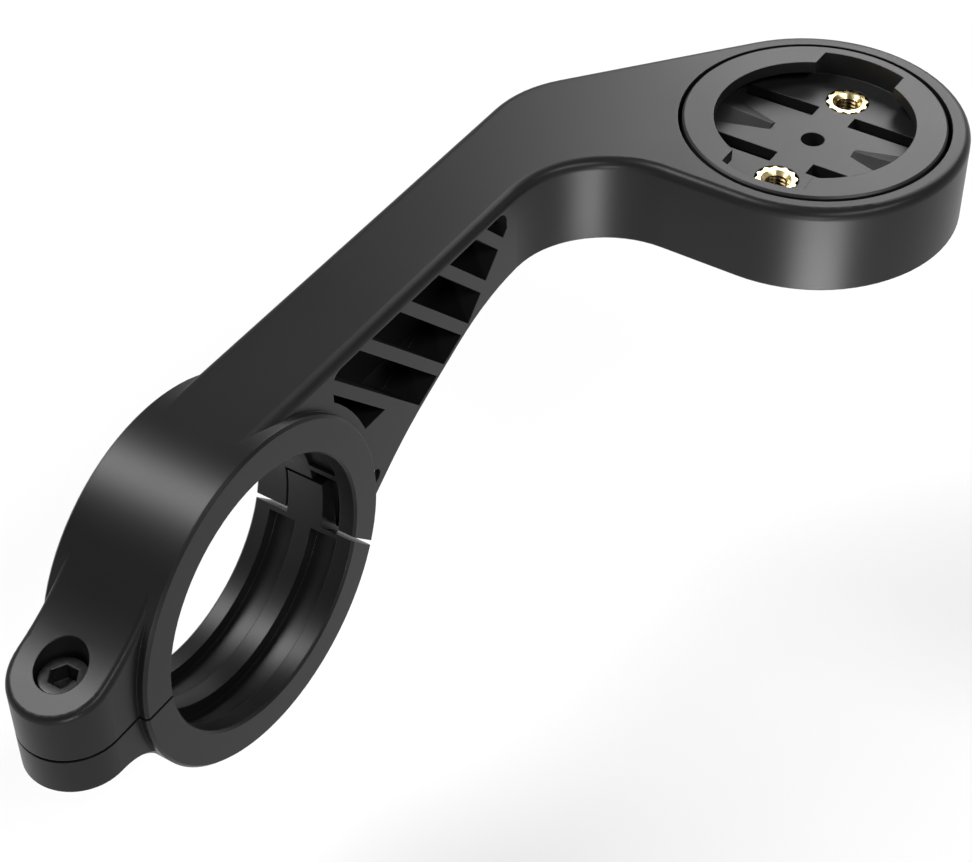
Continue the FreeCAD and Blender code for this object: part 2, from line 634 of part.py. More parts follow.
def make_arm():
    """The arm with its slanted windows cut from both sides."""
    moulding = make_arm_body()
    core = new_body("WindowField")
    field = new_sketch(core, "FieldProfile", "XZ_Plane")
    start = "ring_radius - window_start"
    first_rib = "(window_first + (window_pitch + window_width) / 2 - window_low / tan(window_lean))"
    polygon(field, [
        (start, "window_low"),
        (first_rib, "window_low"),
        (f"{first_rib} + (window_low - {TAIL_BASE}) / tan(window_lean)", TAIL_BASE),
        ("head_forward", TAIL_BASE),
        ("head_forward", f"{HEAD_TOP} - window_top"),
        (start, f"{HEAD_TOP} - window_top"),
    ])
    pad(core, "Field", field, "2 * arm_width", "Symmetric")
    under = new_sketch(core, "SkinProfile", "XZ_Plane")
    polygon(under, underside_corners("window_skin"))
    round_underside(core, pocket(core, "Skin", under, FAR, "Symmetric"), value("window_skin"), False)
    ring = new_sketch(core, "RingSkinProfile", "XZ_Plane")
    circle(ring, 0, 0, "ring_radius + window_ring_skin")
    pocket(core, "RingSkin", ring, FAR, "Symmetric")
    end = new_sketch(core, "FrontEndProfile", "XZ_Plane")
    rectangle(end, "window_end", FAR, f"-{FAR}", FAR)
    front = pocket(core, "FrontEnd", end, FAR, "Symmetric")
    field_top = value("ring_radius") - value("window_top")
    fillet(
        core, "UpperRounds", front, lambda edge: is_along(edge, AXIS_Y) and is_level(edge, field_top),
        "window_round",
    )
    web = new_sketch(core, "WebProfile", "YZ_Plane")
    rectangle(web, "-window_web / 2", "window_web / 2", f"-{FAR}", FAR)
    pocket(core, "Web", web, FAR, "Symmetric")

    length = "(3 * arm_width + head_depth)"
    strips = []
    for step in range(WINDOWS):
        strip = doc.addObject("Part::Box", f"WindowStrip{step + 1}")
        strip.Placement = Placement(Vector(), Rotation(AXIS_Y, value("window_lean")))
        reach = f"(window_first + {step} * window_pitch) * sin(window_lean)"
        bind(strip, {
            "Length": length,
            "Width": "2 * arm_width",
            "Height": "window_width * sin(window_lean)",
            "Placement.Rotation.Angle": "window_lean",
            "Placement.Base.x": f"{reach} * sin(window_lean) - {length} / 2 * cos(window_lean)",
            "Placement.Base.y": "-arm_width",
            "Placement.Base.z": f"{reach} * cos(window_lean) + {length} / 2 * sin(window_lean)",
        })
        strips.append(strip)
    slats = doc.addObject("Part::MultiFuse", "WindowStrips")
    slats.Shapes = strips
    windows = doc.addObject("Part::MultiCommon", "Windows")
    windows.Shapes = [core, slats]
    arm = doc.addObject("Part::Cut", "Arm")
    arm.Base = moulding
    arm.Tool = windows
    return arm


def make_jaw():
    """The lower clamp half: ring, tongue with its hook, shim grooves and lug."""
    body = new_body("ClampJaw")
    lug = add_lug(body, "JawLug", "lug_base", "lug_base_slope", "lug_base_hollow", -1)
    chamfer(body, "JawLugEdges", lug, lambda edge: is_lug_edge(edge, value("lug_base"), -1), "lug_base_edge")
    add_ring(body, "JawRing")
    above = new_sketch(body, "SplitProfile", "XZ_Plane")
    polygon(above, split_corners("split_gap / 2", "hinge_split_gap / 2", 1))
    pocket(body, "JawSplit", above, "2 * ring_width", "Symmetric")

    tongue = new_sketch(body, "TongueProfile", "XZ_Plane")
    back = "hook_x - bar_radius - hinge_play"
    polygon(tongue, [
        ("bore_radius - ring_wall", TONGUE_TOP),
        ("hook_x", TONGUE_TOP),
        ("hook_x", "-hook_drop"),
        (back, "-hook_drop"),
        (back, "-hook_drop - tongue_heel"),
        ("ring_radius * cos(tongue_root)", "-ring_radius * sin(tongue_root)"),
        ("bore_radius - ring_wall", "-ring_radius * sin(tongue_root)"),
    ])
    pad(body, "Tongue", tongue, "tongue_width", "Symmetric")
    hook = new_sketch(body, "HookProfile", "XZ_Plane")
    circle(hook, "hook_x", "-hook_drop", HOOK_RADIUS)
    pad(body, "Hook", hook, "tongue_width", "Symmetric")
    mouth = new_sketch(body, "HookMouthProfile", "XZ_Plane")
    polygon(mouth, [
        ("hook_x", "-hook_drop"),
        (f"hook_x + 2 * {HOOK_RADIUS} * cos(hook_nose)", f"2 * {HOOK_RADIUS} * sin(hook_nose) - hook_drop"),
        (f"hook_x + 2 * {HOOK_RADIUS}", "-2 * ring_width"),
        (back, "-2 * ring_width"),
        (back, "-hook_drop"),
    ])
    pocket(body, "HookMouth", mouth, f"tongue_width + 2 * {OVER}", "Symmetric")
    eye = new_sketch(body, "HookEyeProfile", "XZ_Plane")
    circle(eye, "hook_x", "-hook_drop", "bar_radius + hinge_play")
    pocket(body, "HookEye", eye, f"tongue_width + 2 * {OVER}", "Symmetric")

    bore = new_sketch(body, "BoreProfile", "XZ_Plane")
    circle(bore, 0, 0, "bore_radius")
    bore_cut = pocket(body, "JawBore", bore, "2 * ring_width", "Symmetric")
    rim = value("ring_width") / 2
    chamfer(
        body, "JawBoreRims", bore_cut,
        lambda edge: is_ring(edge, value("bore_radius")) and abs(abs(edge.BoundBox.YMin) - rim) < 0.01,
        "bore_chamfer",
    )
    grooves = new_sketch(body, "GrooveProfile", "YZ_Plane")
    for near, far in (GROOVE_SPAN, tuple(f"-{edge}" for edge in reversed(GROOVE_SPAN))):
        rectangle(grooves, near, far, "-bore_radius - jaw_groove_depth", f"{OVER} - bore_radius")
    turn(body, "PartDesign::Groove", "JawShimGrooves", grooves, "180 - 2 * jaw_groove_end", "H_Axis", True)

    clearance = new_sketch(body, "BoltHolePlan", "XY_Plane")
    circle(clearance, "-bolt_back", 0, "bolt_shank_radius + bolt_shank_gap")
    pocket(body, "JawBoltHole", clearance, "ring_width")
    sleeve = new_sketch(body, "InsertHolePlan", "XY_Plane", JAW_INSERT_TOP)
    circle(sleeve, "-bolt_back", 0, "jaw_insert_radius + press_play")
    pocket(body, "JawInsertHole", sleeve, "ring_width")
    shoulder = f"{JAW_INSERT_TOP} - jaw_insert_length + jaw_insert_flange_height"
    flange = new_sketch(body, "FlangeHolePlan", "XY_Plane", shoulder)
    circle(flange, "-bolt_back", 0, "jaw_insert_flange + press_play")
    pocket(body, "JawFlangeHole", flange, "ring_width")
    return body


def make_jaw_insert():
    """The flanged insert that the clamp bolt screws into, pulled up against the lower lug."""
    body = new_body("JawInsert", "-bolt_back", 0, JAW_INSERT_TOP)
    profile = new_sketch(body, "InsertProfile", "XZ_Plane")
    shoulder = "jaw_insert_flange_height - jaw_insert_length"
    polygon(profile, [
        ("jaw_insert_bore", 0),
        ("jaw_insert_radius", 0),
        ("jaw_insert_radius", shoulder),
        ("jaw_insert_flange", shoulder),
        ("jaw_insert_flange", "-jaw_insert_length"),
        ("jaw_insert_bore", "-jaw_insert_length"),
    ])
    turn(body, "PartDesign::Revolution", "Insert", profile, 360, "V_Axis")
    return body


def hexagon(sketch, across_flats):
    """A hexagon round the sketch's origin."""
    corner = f"({across_flats} / 2 / cos(30))"
    polygon(sketch, [(f"{corner} * cos({60 * step})", f"{corner} * sin({60 * step})") for step in range(6)])


def make_bolt():
    """The clamp bolt: socket head, plain shank and the thread at its root radius."""
    body = new_body("ClampBolt", "-bolt_back", 0, "bolt_seat + bolt_seat_gap")
    profile = new_sketch(body, "BoltProfile", "XZ_Plane")
    polygon(profile, [
        (0, "-bolt_length"),
        ("bolt_thread_radius", "-bolt_length"),
        ("bolt_thread_radius", "-bolt_shank_length"),
        ("bolt_shank_radius", "-bolt_shank_length"),
        ("bolt_shank_radius", 0),
        ("bolt_head_radius", 0),
        ("bolt_head_radius", "bolt_head_height - bolt_head_edge"),
        ("bolt_head_radius - bolt_head_edge", "bolt_head_height"),
        (0, "bolt_head_height"),
    ])
    turn(body, "PartDesign::Revolution", "Bolt", profile, 360, "V_Axis")
    socket = new_sketch(body, "SocketPlan", "XY_Plane", "bolt_head_height")
    hexagon(socket, "bolt_hex")
    pocket(body, "Socket", socket, "bolt_hex_depth")
    return body


def make_puck():
    """The quarter-turn puck; its own origin is the middle of its floor."""
    body = new_body("Puck", "head_forward", "-head_aside", PUCK_FLOOR_TOP)
    top = "(lip_height + channel_height)"
    outline = new_sketch(body, "PuckPlan", "XY_Plane", top)
    circle(outline, 0, 0, "puck_radius")
    pad(body, "PuckDisc", outline, f"{top} + {CUP_DEPTH}", reverse=True)
    hollow = new_sketch(body, "HollowPlan", "XY_Plane", "-puck_floor")
    circle(hollow, 0, 0, "notch_radius")
    pocket(body, "Hollow", hollow, FAR)
    bosses = new_sketch(body, "BossPlan", "XY_Plane", "-puck_floor")
    for sign in ("", "-"):
        circle(bosses, f"{sign}insert_pitch / 2", 0, "boss_radius")
    pad(body, "Bosses", bosses, f"{CUP_DEPTH} - puck_floor + boss_seat - press_play", reverse=True)
    middle = new_sketch(body, "MiddleBossPlan", "XY_Plane", "-puck_floor")
    circle(middle, 0, 0, "centre_boss")
    pad(body, "MiddleBoss", middle, f"{CUP_DEPTH} - puck_floor", reverse=True)

    mouth = new_sketch(body, "MouthPlan", "XY_Plane", top)
    circle(mouth, 0, 0, "mouth_radius")
    pocket(body, "Mouth", mouth, top)
    tabs = new_sketch(body, "TabNotchPlan", "XY_Plane", top)
    round_ended_slot(tabs, "notch_radius", "notch_width / 2")
    pocket(body, "TabNotches", tabs, top)
    channel = new_sketch(body, "ChannelPlan", "XY_Plane", "channel_height")
    circle(channel, 0, 0, "notch_radius")
    channel_cut = pocket(body, "Channel", channel, "channel_height")
    puck_top = value("lip_height") + value("channel_height")
    chamfer(
        body, "PuckEdge", channel_cut,
        lambda edge: is_ring(edge, value("puck_radius")) and is_level(edge, puck_top), "puck_edge",
    )

    slots = new_sketch(body, "SlotPlan", "XY_Plane")
    for along in ("", "-"):
        for aside in ("", "-"):
            rectangle(
                slots, f"{along}slot_inner", f"{along}slot_outer", f"{aside}slot_start", f"{aside}slot_end",
            )
    pocket(body, "Slots", slots, f"puck_floor + {OVER}")
    root = "-puck_floor / 2"
    for name, sign in (("Left", "-"), ("Right", "")):
        ends = []
        for place, half, height in (
            ("ridge_start", "ridge_narrow", "ridge_low"),
            ("notch_radius", "ridge_wide", "ridge_high"),
        ):
            end = new_sketch(body, f"{name}Ridge{len(ends) + 1}", "XZ_Plane", f"{sign}{place}")
            polygon(end, [(f"-{half}", root), (half, root), (half, 0), (0, height), (f"-{half}", 0)])
            ends.append(end)
        ridge = body.newObject("PartDesign::AdditiveLoft", f"{name}Ridge")
        ridge.Profile = ends[0]
        ridge.Sections = [ends[1]]
        ridge.Ruled = True

    recesses = new_sketch(body, "FlangeRecessPlan", "XY_Plane")
    holes = new_sketch(body, "InsertHolePlan", "XY_Plane")
    for sign in ("", "-"):
        circle(recesses, f"{sign}insert_pitch / 2", 0, "insert_flange + 2 * press_play")
        circle(holes, f"{sign}insert_pitch / 2", 0, "insert_radius + press_play")
    circle(holes, 0, 0, "centre_hole")
    pocket(body, "FlangeRecesses", recesses, "insert_flange_height")
    pocket(body, "InsertHoles", holes, FAR)
    return body


def make_accessory_insert(name, sign):
    """A brass insert with a serrated flange, flush with the puck's floor."""
    body = new_body(name, f"head_forward {sign} insert_pitch / 2", "-head_aside", PUCK_FLOOR_TOP)
    star = new_sketch(body, "FlangePlan", "XY_Plane")
    corners = []
    for step in range(2 * FLANGE_POINTS):
        reach = "insert_flange_root" if step % 2 else "insert_flange"
        angle = 180 * step / FLANGE_POINTS
        corners.append((f"{reach} * cos({angle})", f"{reach} * sin({angle})"))
    polygon(star, corners)
    pad(body, "Flange", star, "insert_flange_height", reverse=True)
    sleeve = new_sketch(body, "SleevePlan", "XY_Plane")
    circle(sleeve, 0, 0, "insert_radius")
    pad(body, "Sleeve", sleeve, "insert_length", reverse=True)
    hole = new_sketch(body, "HolePlan", "XY_Plane")
    circle(hole, 0, 0, "insert_bore")
    bore = pocket(body, "Hole", hole, FAR)
    chamfer(
        body, "Countersink", bore,
        lambda edge: is_ring(edge, value("insert_bore")) and edge.BoundBox.ZMin > -0.01,
        "insert_lip - insert_bore",
    )
    return body


def make_puck_screw():
    """The screw that holds the puck, driven up through the head's floor."""
    body = new_body("PuckScrew", "head_forward", "-head_aside", SCREW_SEAT)
    profile = new_sketch(body, "ScrewProfile", "XZ_Plane")
    polygon(profile, [
        (0, "screw_length"),
        ("screw_radius / 2", "screw_length"),
        ("screw_radius", "screw_length - screw_radius / 2"),
        ("screw_radius", 0),
        ("screw_head_radius", 0),
        ("screw_head_radius", "-screw_head_height / 2"),
        ("screw_head_radius - screw_head_height / 2", "-screw_head_height"),
        (0, "-screw_head_height"),
    ])
    turn(body, "PartDesign::Revolution", "Screw", profile, 360, "V_Axis")
    socket = new_sketch(body, "SocketPlan", "XY_Plane", "-screw_head_height")
    hexagon(socket, "screw_hex")
    pocket(body, "Socket", socket, "screw_hex_depth", reverse=True)
    return body


NODES = {
    "arm": make_arm(),
    "clamp_jaw": make_jaw(),
    "jaw_insert": make_jaw_insert(),
    "clamp_bolt": make_bolt(),
    "puck": make_puck(),
    "insert_front": make_accessory_insert("InsertFront", "+"),
    "insert_rear": make_accessory_insert("InsertRear", "-"),
    "puck_screw": make_puck_screw(),
}
for label, node in NODES.items():
    node.Label = label
doc.recompute()

for thing in doc.Objects:
    if "Invalid" in thing.State or "Error" in thing.State:
        raise ValueError(f"{thing.Name} failed: {thing.State}")
for label, node in NODES.items():
    if node.Shape.isNull() or not node.Shape.isValid() or len(node.Shape.Solids) != 1:
        raise ValueError(f"{label} is not one valid solid")
for label, node in NODES.items():
    node.Shape.exportStep(f"parts/{label}.step")
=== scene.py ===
import math

import bpy
from mathutils import Matrix, Vector


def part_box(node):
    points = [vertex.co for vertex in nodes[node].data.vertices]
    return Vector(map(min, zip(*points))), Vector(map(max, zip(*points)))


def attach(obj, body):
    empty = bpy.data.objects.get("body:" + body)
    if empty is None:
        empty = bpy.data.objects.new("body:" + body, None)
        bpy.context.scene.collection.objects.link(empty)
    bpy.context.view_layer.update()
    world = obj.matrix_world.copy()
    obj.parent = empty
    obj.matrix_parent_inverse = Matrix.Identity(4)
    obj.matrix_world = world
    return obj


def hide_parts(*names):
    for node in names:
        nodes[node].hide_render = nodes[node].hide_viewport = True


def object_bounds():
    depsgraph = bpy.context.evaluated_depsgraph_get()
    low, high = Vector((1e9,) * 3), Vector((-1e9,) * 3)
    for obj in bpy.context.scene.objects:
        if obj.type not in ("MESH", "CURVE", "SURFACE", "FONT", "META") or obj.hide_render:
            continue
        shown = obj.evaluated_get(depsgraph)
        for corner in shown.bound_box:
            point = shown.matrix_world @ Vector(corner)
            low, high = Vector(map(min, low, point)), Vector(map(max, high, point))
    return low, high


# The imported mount. Its origin is the centre of the handlebar bore, +X points forward to the
# computer, +Y to the rider's left along the bar and +Z up. Lengths here are in metres.
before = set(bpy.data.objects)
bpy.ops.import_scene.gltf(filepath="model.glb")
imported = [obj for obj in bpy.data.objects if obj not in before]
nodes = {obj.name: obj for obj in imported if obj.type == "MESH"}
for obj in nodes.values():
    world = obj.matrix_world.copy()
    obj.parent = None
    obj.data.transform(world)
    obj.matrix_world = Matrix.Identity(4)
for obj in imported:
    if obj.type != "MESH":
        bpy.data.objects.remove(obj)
cad_low, cad_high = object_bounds()
MM = 0.001

# Camera: behind, to the right of and above the clamp, looking forward and down along the arm,
# with a long lens. Its own right and up directions give its turn and its slight roll.
CAMERA_PLACE = Vector((-136.1, -128.7, 190.9)) * MM
CAMERA_RIGHT = Vector((0.5434, -0.8393, -0.0125))
CAMERA_UP = Vector((0.5731, 0.3601, 0.7362))
CAMERA_SENSOR = 36.0
CAMERA_LENS = 83.34
CAMERA_NEAREST = 0.01

camera_right = CAMERA_RIGHT.normalized()
camera_back = camera_right.cross(CAMERA_UP).normalized()
camera_up = camera_back.cross(camera_right)
camera_data = bpy.data.cameras.new("camera")
camera_data.sensor_width = CAMERA_SENSOR
camera_data.lens = CAMERA_LENS
camera_data.clip_start = CAMERA_NEAREST
camera = bpy.data.objects.new("camera", camera_data)
turn = Matrix((camera_right, camera_up, camera_back)).transposed()
camera.matrix_world = Matrix.Translation(CAMERA_PLACE) @ turn.to_4x4()
bpy.context.scene.collection.objects.link(camera)
bpy.context.scene.camera = camera

# Floor: a plain white sweep, low enough for the clamp jaw to swing open above it, that curves up
# around it on every side. Camera, mirror and glass rays see it lifted to white, and the diffuse
# share that is left keeps the mount's shadow.
FLOOR_DROP = 37.0 * MM
FLOOR_REACH = 3.5
FLOOR_SIDES = 96
SWEEP_RISE = 2.5
SWEEP_ROWS = 12
FLOOR_DIFFUSE = 0.26
FLOOR_GLOW = 0.64


def add_node(tree, kind, group=None, **inputs):
    """A shader node, or a placed group, with some of its inputs set by name. An underscore in a
    name stands for a space."""
    node = tree.nodes.new(kind)
    if group:
        node.node_tree = group
    for name, content in inputs.items():
        node.inputs[name.replace("_", " ")].default_value = content
    return node


def reckon(tree, operation, *inputs):
    """The result of a Math node. Each of its inputs is a number or another node's output."""
    node = tree.nodes.new("ShaderNodeMath")
    node.operation = operation
    for socket, given in zip(node.inputs, inputs):
        if isinstance(given, float):
            socket.default_value = given
        else:
            tree.links.new(given, socket)
    return node.outputs[0]


def new_material(name):
    """An empty node material and its output's surface socket."""
    material = bpy.data.materials.new(name)
    material.use_nodes = True
    material.node_tree.nodes.clear()
    output = material.node_tree.nodes.new("ShaderNodeOutputMaterial")
    return material, output.inputs["Surface"]


def pale_floor():
    """White paint that glows for camera, mirror and glass rays only."""
    material, surface = new_material("pale_floor")
    tree = material.node_tree
    shade = (FLOOR_DIFFUSE, FLOOR_DIFFUSE, FLOOR_DIFFUSE, 1)
    paint = add_node(tree, "ShaderNodeBsdfDiffuse", Color=shade)
    ray = tree.nodes.new("ShaderNodeLightPath")
    seen = reckon(tree, "MAXIMUM", ray.outputs["Is Camera Ray"], ray.outputs["Is Glossy Ray"])
    seen = reckon(tree, "MAXIMUM", seen, ray.outputs["Is Transmission Ray"])
    glow = add_node(tree, "ShaderNodeEmission", Color=(1, 1, 1, 1))
    both = tree.nodes.new("ShaderNodeAddShader")
    tree.links.new(reckon(tree, "MULTIPLY", seen, FLOOR_GLOW), glow.inputs["Strength"])
    tree.links.new(paint.outputs[0], both.inputs[0])
    tree.links.new(glow.outputs[0], both.inputs[1])
    tree.links.new(both.outputs[0], surface)
    return material


floor_points = []
for row in range(SWEEP_ROWS + 1):
    bend = math.pi / 2 * row / SWEEP_ROWS
    reach = FLOOR_REACH + SWEEP_RISE * math.sin(bend)
    height = cad_low[2] - FLOOR_DROP + SWEEP_RISE * (1 - math.cos(bend))
    for side in range(FLOOR_SIDES):
        angle = 2 * math.pi * side / FLOOR_SIDES
        floor_points.append((reach * math.cos(angle), reach * math.sin(angle), height))
floor_faces = [tuple(range(FLOOR_SIDES))]
for row in range(SWEEP_ROWS):
    inner = row * FLOOR_SIDES
    outer = inner + FLOOR_SIDES
    for side in range(FLOOR_SIDES):
        beside = (side + 1) % FLOOR_SIDES
        floor_faces.append((inner + side, inner + beside, outer + beside, outer + side))
floor_mesh = bpy.data.meshes.new("floor")
floor_mesh.from_pydata(floor_points, [], floor_faces)
floor_mesh.materials.append(pale_floor())
floor = bpy.data.objects.new("floor", floor_mesh)
bpy.context.scene.collection.objects.link(floor)

# Light: a softbox high on the rider's left makes the bright band over the clamp ring, a wide one
# stands beyond the computer's head, and a small low one and a long one on the right light the
# upright walls. Each has its bearing and height angle as seen from the mount, in degrees, its
# distance, width and height in metres, and its power in watts.
LIGHT_AIM = Vector((30, -10, 10)) * MM
LIGHTS = {
    "softbox_left": (105, 57, 0.60, 0.18, 0.30, 3.8),
    "softbox_front": (8, 32, 0.75, 0.46, 0.30, 3.6),
    "strip_rear_right": (-146, 3, 0.70, 0.06, 0.08, 1.5),
    "strip_right": (-104, 48, 0.70, 0.50, 0.07, 2.6),
}
WORLD_LIGHT = 0.10


def area_lamp(name, place, toward, width, tall, power):
    """A rectangular lamp at a place. It faces away from the direction given."""
    lamp = bpy.data.lights.new(name, "AREA")
    lamp.shape = "RECTANGLE"
    lamp.size = width
    lamp.size_y = tall
    lamp.energy = power
    stand = bpy.data.objects.new(name, lamp)
    stand.location = place
    stand.rotation_euler = toward.to_track_quat("Z", "Y").to_euler()
    bpy.context.scene.collection.objects.link(stand)
    return stand


for name, (bearing, rise, distance, width, tall, power) in LIGHTS.items():
    level = math.cos(math.radians(rise))
    toward = Vector((
        level * math.cos(math.radians(bearing)),
        level * math.sin(math.radians(bearing)),
        math.sin(math.radians(rise)),
    ))
    area_lamp(name, LIGHT_AIM + toward * distance, toward, width, tall, power)

# A small card lies low under the arm's right side. It shines up at the head and the bend only,
# and draws the soft upright bands on their walls.
CARD_PLACE = Vector((22, -78, -38)) * MM
CARD_AIM = Vector((70, -39, 16)) * MM
CARD_WIDTH = 45.0 * MM
CARD_TALL = 40.0 * MM
CARD_POWER = 0.018
CARD_SPREAD = 70

card_back = CARD_PLACE - CARD_AIM
card = area_lamp("low_card", CARD_PLACE, card_back, CARD_WIDTH, CARD_TALL, CARD_POWER)
card.data.spread = math.radians(CARD_SPREAD)
card.visible_camera = False

world = bpy.data.worlds.new("studio")
world.use_nodes = True
background = world.node_tree.nodes["Background"]
background.inputs["Color"].default_value = (1, 1, 1, 1)
background.inputs["Strength"].default_value = WORLD_LIGHT
bpy.context.scene.world = world
bpy.context.scene.view_settings.view_transform = "Standard"

# Arm: one nylon moulding with the upper clamp half, hinge bar, slanted windows and the head.
# It is black right through, with the fine satin grain that the mould's walls leave on it.
ARM_BLACK = (0.0075, 0.0075, 0.0078)
ARM_GLOSS = (0.34, 0.41)
ARM_SPECULAR = 0.20
GRAIN_SCALE = 5200.0
GRAIN_HEIGHT = 0.004 * MM
DRIFT_SCALE = 55.0
DRIFT_LOW = 0.86
DRIFT_HIGH = 1.14
MOULD_EDGE = 0.14 * MM
EDGE_SAMPLES = 8


def moulded_grain():
    """Group: fine mould grain as a height, and a slow drift of shade and gloss over the surface."""
    group = bpy.data.node_groups.new("moulded_grain", "ShaderNodeTree")
    group.interface.new_socket("Color", in_out="INPUT", socket_type="NodeSocketColor")
    group.interface.new_socket("Gloss Low", in_out="INPUT", socket_type="NodeSocketFloat")
    group.interface.new_socket("Gloss High", in_out="INPUT", socket_type="NodeSocketFloat")
    group.interface.new_socket("Color", in_out="OUTPUT", socket_type="NodeSocketColor")
    group.interface.new_socket("Roughness", in_out="OUTPUT", socket_type="NodeSocketFloat")
    group.interface.new_socket("Height", in_out="OUTPUT", socket_type="NodeSocketFloat")
    given = group.nodes.new("NodeGroupInput")
    result = group.nodes.new("NodeGroupOutput")
    place = group.nodes.new("ShaderNodeTexCoord")
    grain = add_node(group, "ShaderNodeTexNoise", Scale=GRAIN_SCALE, Detail=3.0, Roughness=0.6)
    drift = add_node(group, "ShaderNodeTexNoise", Scale=DRIFT_SCALE, Detail=2.0, Roughness=0.5)
    gloss = group.nodes.new("ShaderNodeMapRange")
    shade = add_node(group, "ShaderNodeMapRange", To_Min=DRIFT_LOW, To_Max=DRIFT_HIGH)
    tint = group.nodes.new("ShaderNodeVectorMath")
    tint.operation = "SCALE"
    for texture in (grain, drift):
        group.links.new(place.outputs["Object"], texture.inputs["Vector"])
    for spread in (gloss, shade):
        group.links.new(drift.outputs["Fac"], spread.inputs["Value"])
    group.links.new(given.outputs["Gloss Low"], gloss.inputs["To Min"])
    group.links.new(given.outputs["Gloss High"], gloss.inputs["To Max"])
    group.links.new(given.outputs["Color"], tint.inputs[0])
    group.links.new(shade.outputs["Result"], tint.inputs["Scale"])
    group.links.new(tint.outputs["Vector"], result.inputs["Color"])
    group.links.new(gloss.outputs["Result"], result.inputs["Roughness"])
    group.links.new(grain.outputs["Fac"], result.inputs["Height"])
    return group


def softened_edges():
    """Group: the surface's normal with each sharp edge rounded to a small radius."""
    group = bpy.data.node_groups.new("softened_edges", "ShaderNodeTree")
    group.interface.new_socket("Radius", in_out="INPUT", socket_type="NodeSocketFloat")
    group.interface.new_socket("Normal", in_out="OUTPUT", socket_type="NodeSocketVector")
    given = group.nodes.new("NodeGroupInput")
    result = group.nodes.new("NodeGroupOutput")
    edge = group.nodes.new("ShaderNodeBevel")
    edge.samples = EDGE_SAMPLES
    group.links.new(given.outputs["Radius"], edge.inputs["Radius"])
    group.links.new(edge.outputs["Normal"], result.inputs["Normal"])
    return group


grain_group = moulded_grain()
edge_group = softened_edges()


def moulded_nylon(name, colour, gloss, specular):
    """Satin black nylon with mould grain and slightly rounded edges."""
    material, surface = new_material(name)
    tree = material.node_tree
    shader = add_node(tree, "ShaderNodeBsdfPrincipled", Specular_IOR_Level=specular)
    grain = add_node(
        tree,
        "ShaderNodeGroup",
        grain_group,
        Color=(*colour, 1),
        Gloss_Low=gloss[0],
        Gloss_High=gloss[1],
    )
    edge = add_node(tree, "ShaderNodeGroup", edge_group, Radius=MOULD_EDGE)
    bump = add_node(tree, "ShaderNodeBump", Strength=1.0, Distance=GRAIN_HEIGHT)
    tree.links.new(grain.outputs["Color"], shader.inputs["Base Color"])
    tree.links.new(grain.outputs["Roughness"], shader.inputs["Roughness"])
    tree.links.new(grain.outputs["Height"], bump.inputs["Height"])
    tree.links.new(edge.outputs["Normal"], bump.inputs["Normal"])
    tree.links.new(bump.outputs["Normal"], shader.inputs["Normal"])
    tree.links.new(shader.outputs[0], surface)
    return material


def dress(node, material):
    """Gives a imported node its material."""
    nodes[node].data.materials.clear()
    nodes[node].data.materials.append(material)


# The room that the windows' cores fill, inside the arm's outer faces: a box, cut off below by a
# slanted plane in the skin over the underside. Inside it the nylon gets painted shade: near-black
# colour and more roughness. A Mix node's sockets go by number, because their names repeat.
CORE_LOW = Vector((16.0, -6.2, 8.0)) * MM
CORE_HIGH = Vector((54.2, 6.2, 21.0)) * MM
SKIN_SLOPE = 0.173
SKIN_HEIGHT = 0.96 * MM
# Near-black colour painted inside the windows as shade.
WINDOW_SHADE_BLACK = (0.0012, 0.0012, 0.0012)
CORE_ROUGHNESS = 0.85
NUMBER_MIX = {"share": 0, "from": 2, "to": 3, "result": 0}
COLOUR_MIX = {"share": 0, "from": 6, "to": 7, "result": 2}


def window_shade_room():
    """Group: 1 inside the room of the windows' cores, where shade is painted, and 0 outside it."""
    group = bpy.data.node_groups.new("window_shade_room", "ShaderNodeTree")
    group.interface.new_socket("Inside", in_out="OUTPUT", socket_type="NodeSocketFloat")
    result = group.nodes.new("NodeGroupOutput")
    place = group.nodes.new("ShaderNodeTexCoord")
    split = group.nodes.new("ShaderNodeSeparateXYZ")
    group.links.new(place.outputs["Object"], split.inputs[0])
    above = reckon(group, "MULTIPLY_ADD", split.outputs["X"], -SKIN_SLOPE, split.outputs["Z"])
    inside = reckon(group, "GREATER_THAN", above, SKIN_HEIGHT)
    for axis in range(3):
        middle = (CORE_LOW[axis] + CORE_HIGH[axis]) / 2
        half = (CORE_HIGH[axis] - CORE_LOW[axis]) / 2
        within = reckon(group, "COMPARE", split.outputs[axis], middle, half)
        inside = reckon(group, "MULTIPLY", within, inside)
    group.links.new(inside, result.inputs["Inside"])
    return group


def paint_window_shade(material, room):
    """Paints the nylon near black as shade inside the windows' room, and makes it rougher there."""
    tree = material.node_tree
    shader = next(node for node in tree.nodes if node.bl_idname == "ShaderNodeBsdfPrincipled")
    core = add_node(tree, "ShaderNodeGroup", room)
    shade = tree.nodes.new("ShaderNodeMix")
    shade.data_type = "RGBA"
    shade.inputs[COLOUR_MIX["to"]].default_value = (*WINDOW_SHADE_BLACK, 1)
    dry = tree.nodes.new("ShaderNodeMix")
    dry.inputs[NUMBER_MIX["to"]].default_value = CORE_ROUGHNESS
    mixes = ((shade, "Base Color", COLOUR_MIX), (dry, "Roughness", NUMBER_MIX))
    for mix, socket, numbers in mixes:
        moulded = shader.inputs[socket].links[0].from_socket
        tree.links.new(moulded, mix.inputs[numbers["from"]])
        tree.links.new(core.outputs["Inside"], mix.inputs[numbers["share"]])
        tree.links.new(mix.outputs[numbers["result"]], shader.inputs[socket])


arm_nylon = moulded_nylon("arm_nylon", ARM_BLACK, ARM_GLOSS, ARM_SPECULAR)
# The arm's windows get painted shade inside them.
paint_window_shade(arm_nylon, window_shade_room())
dress("arm", arm_nylon)

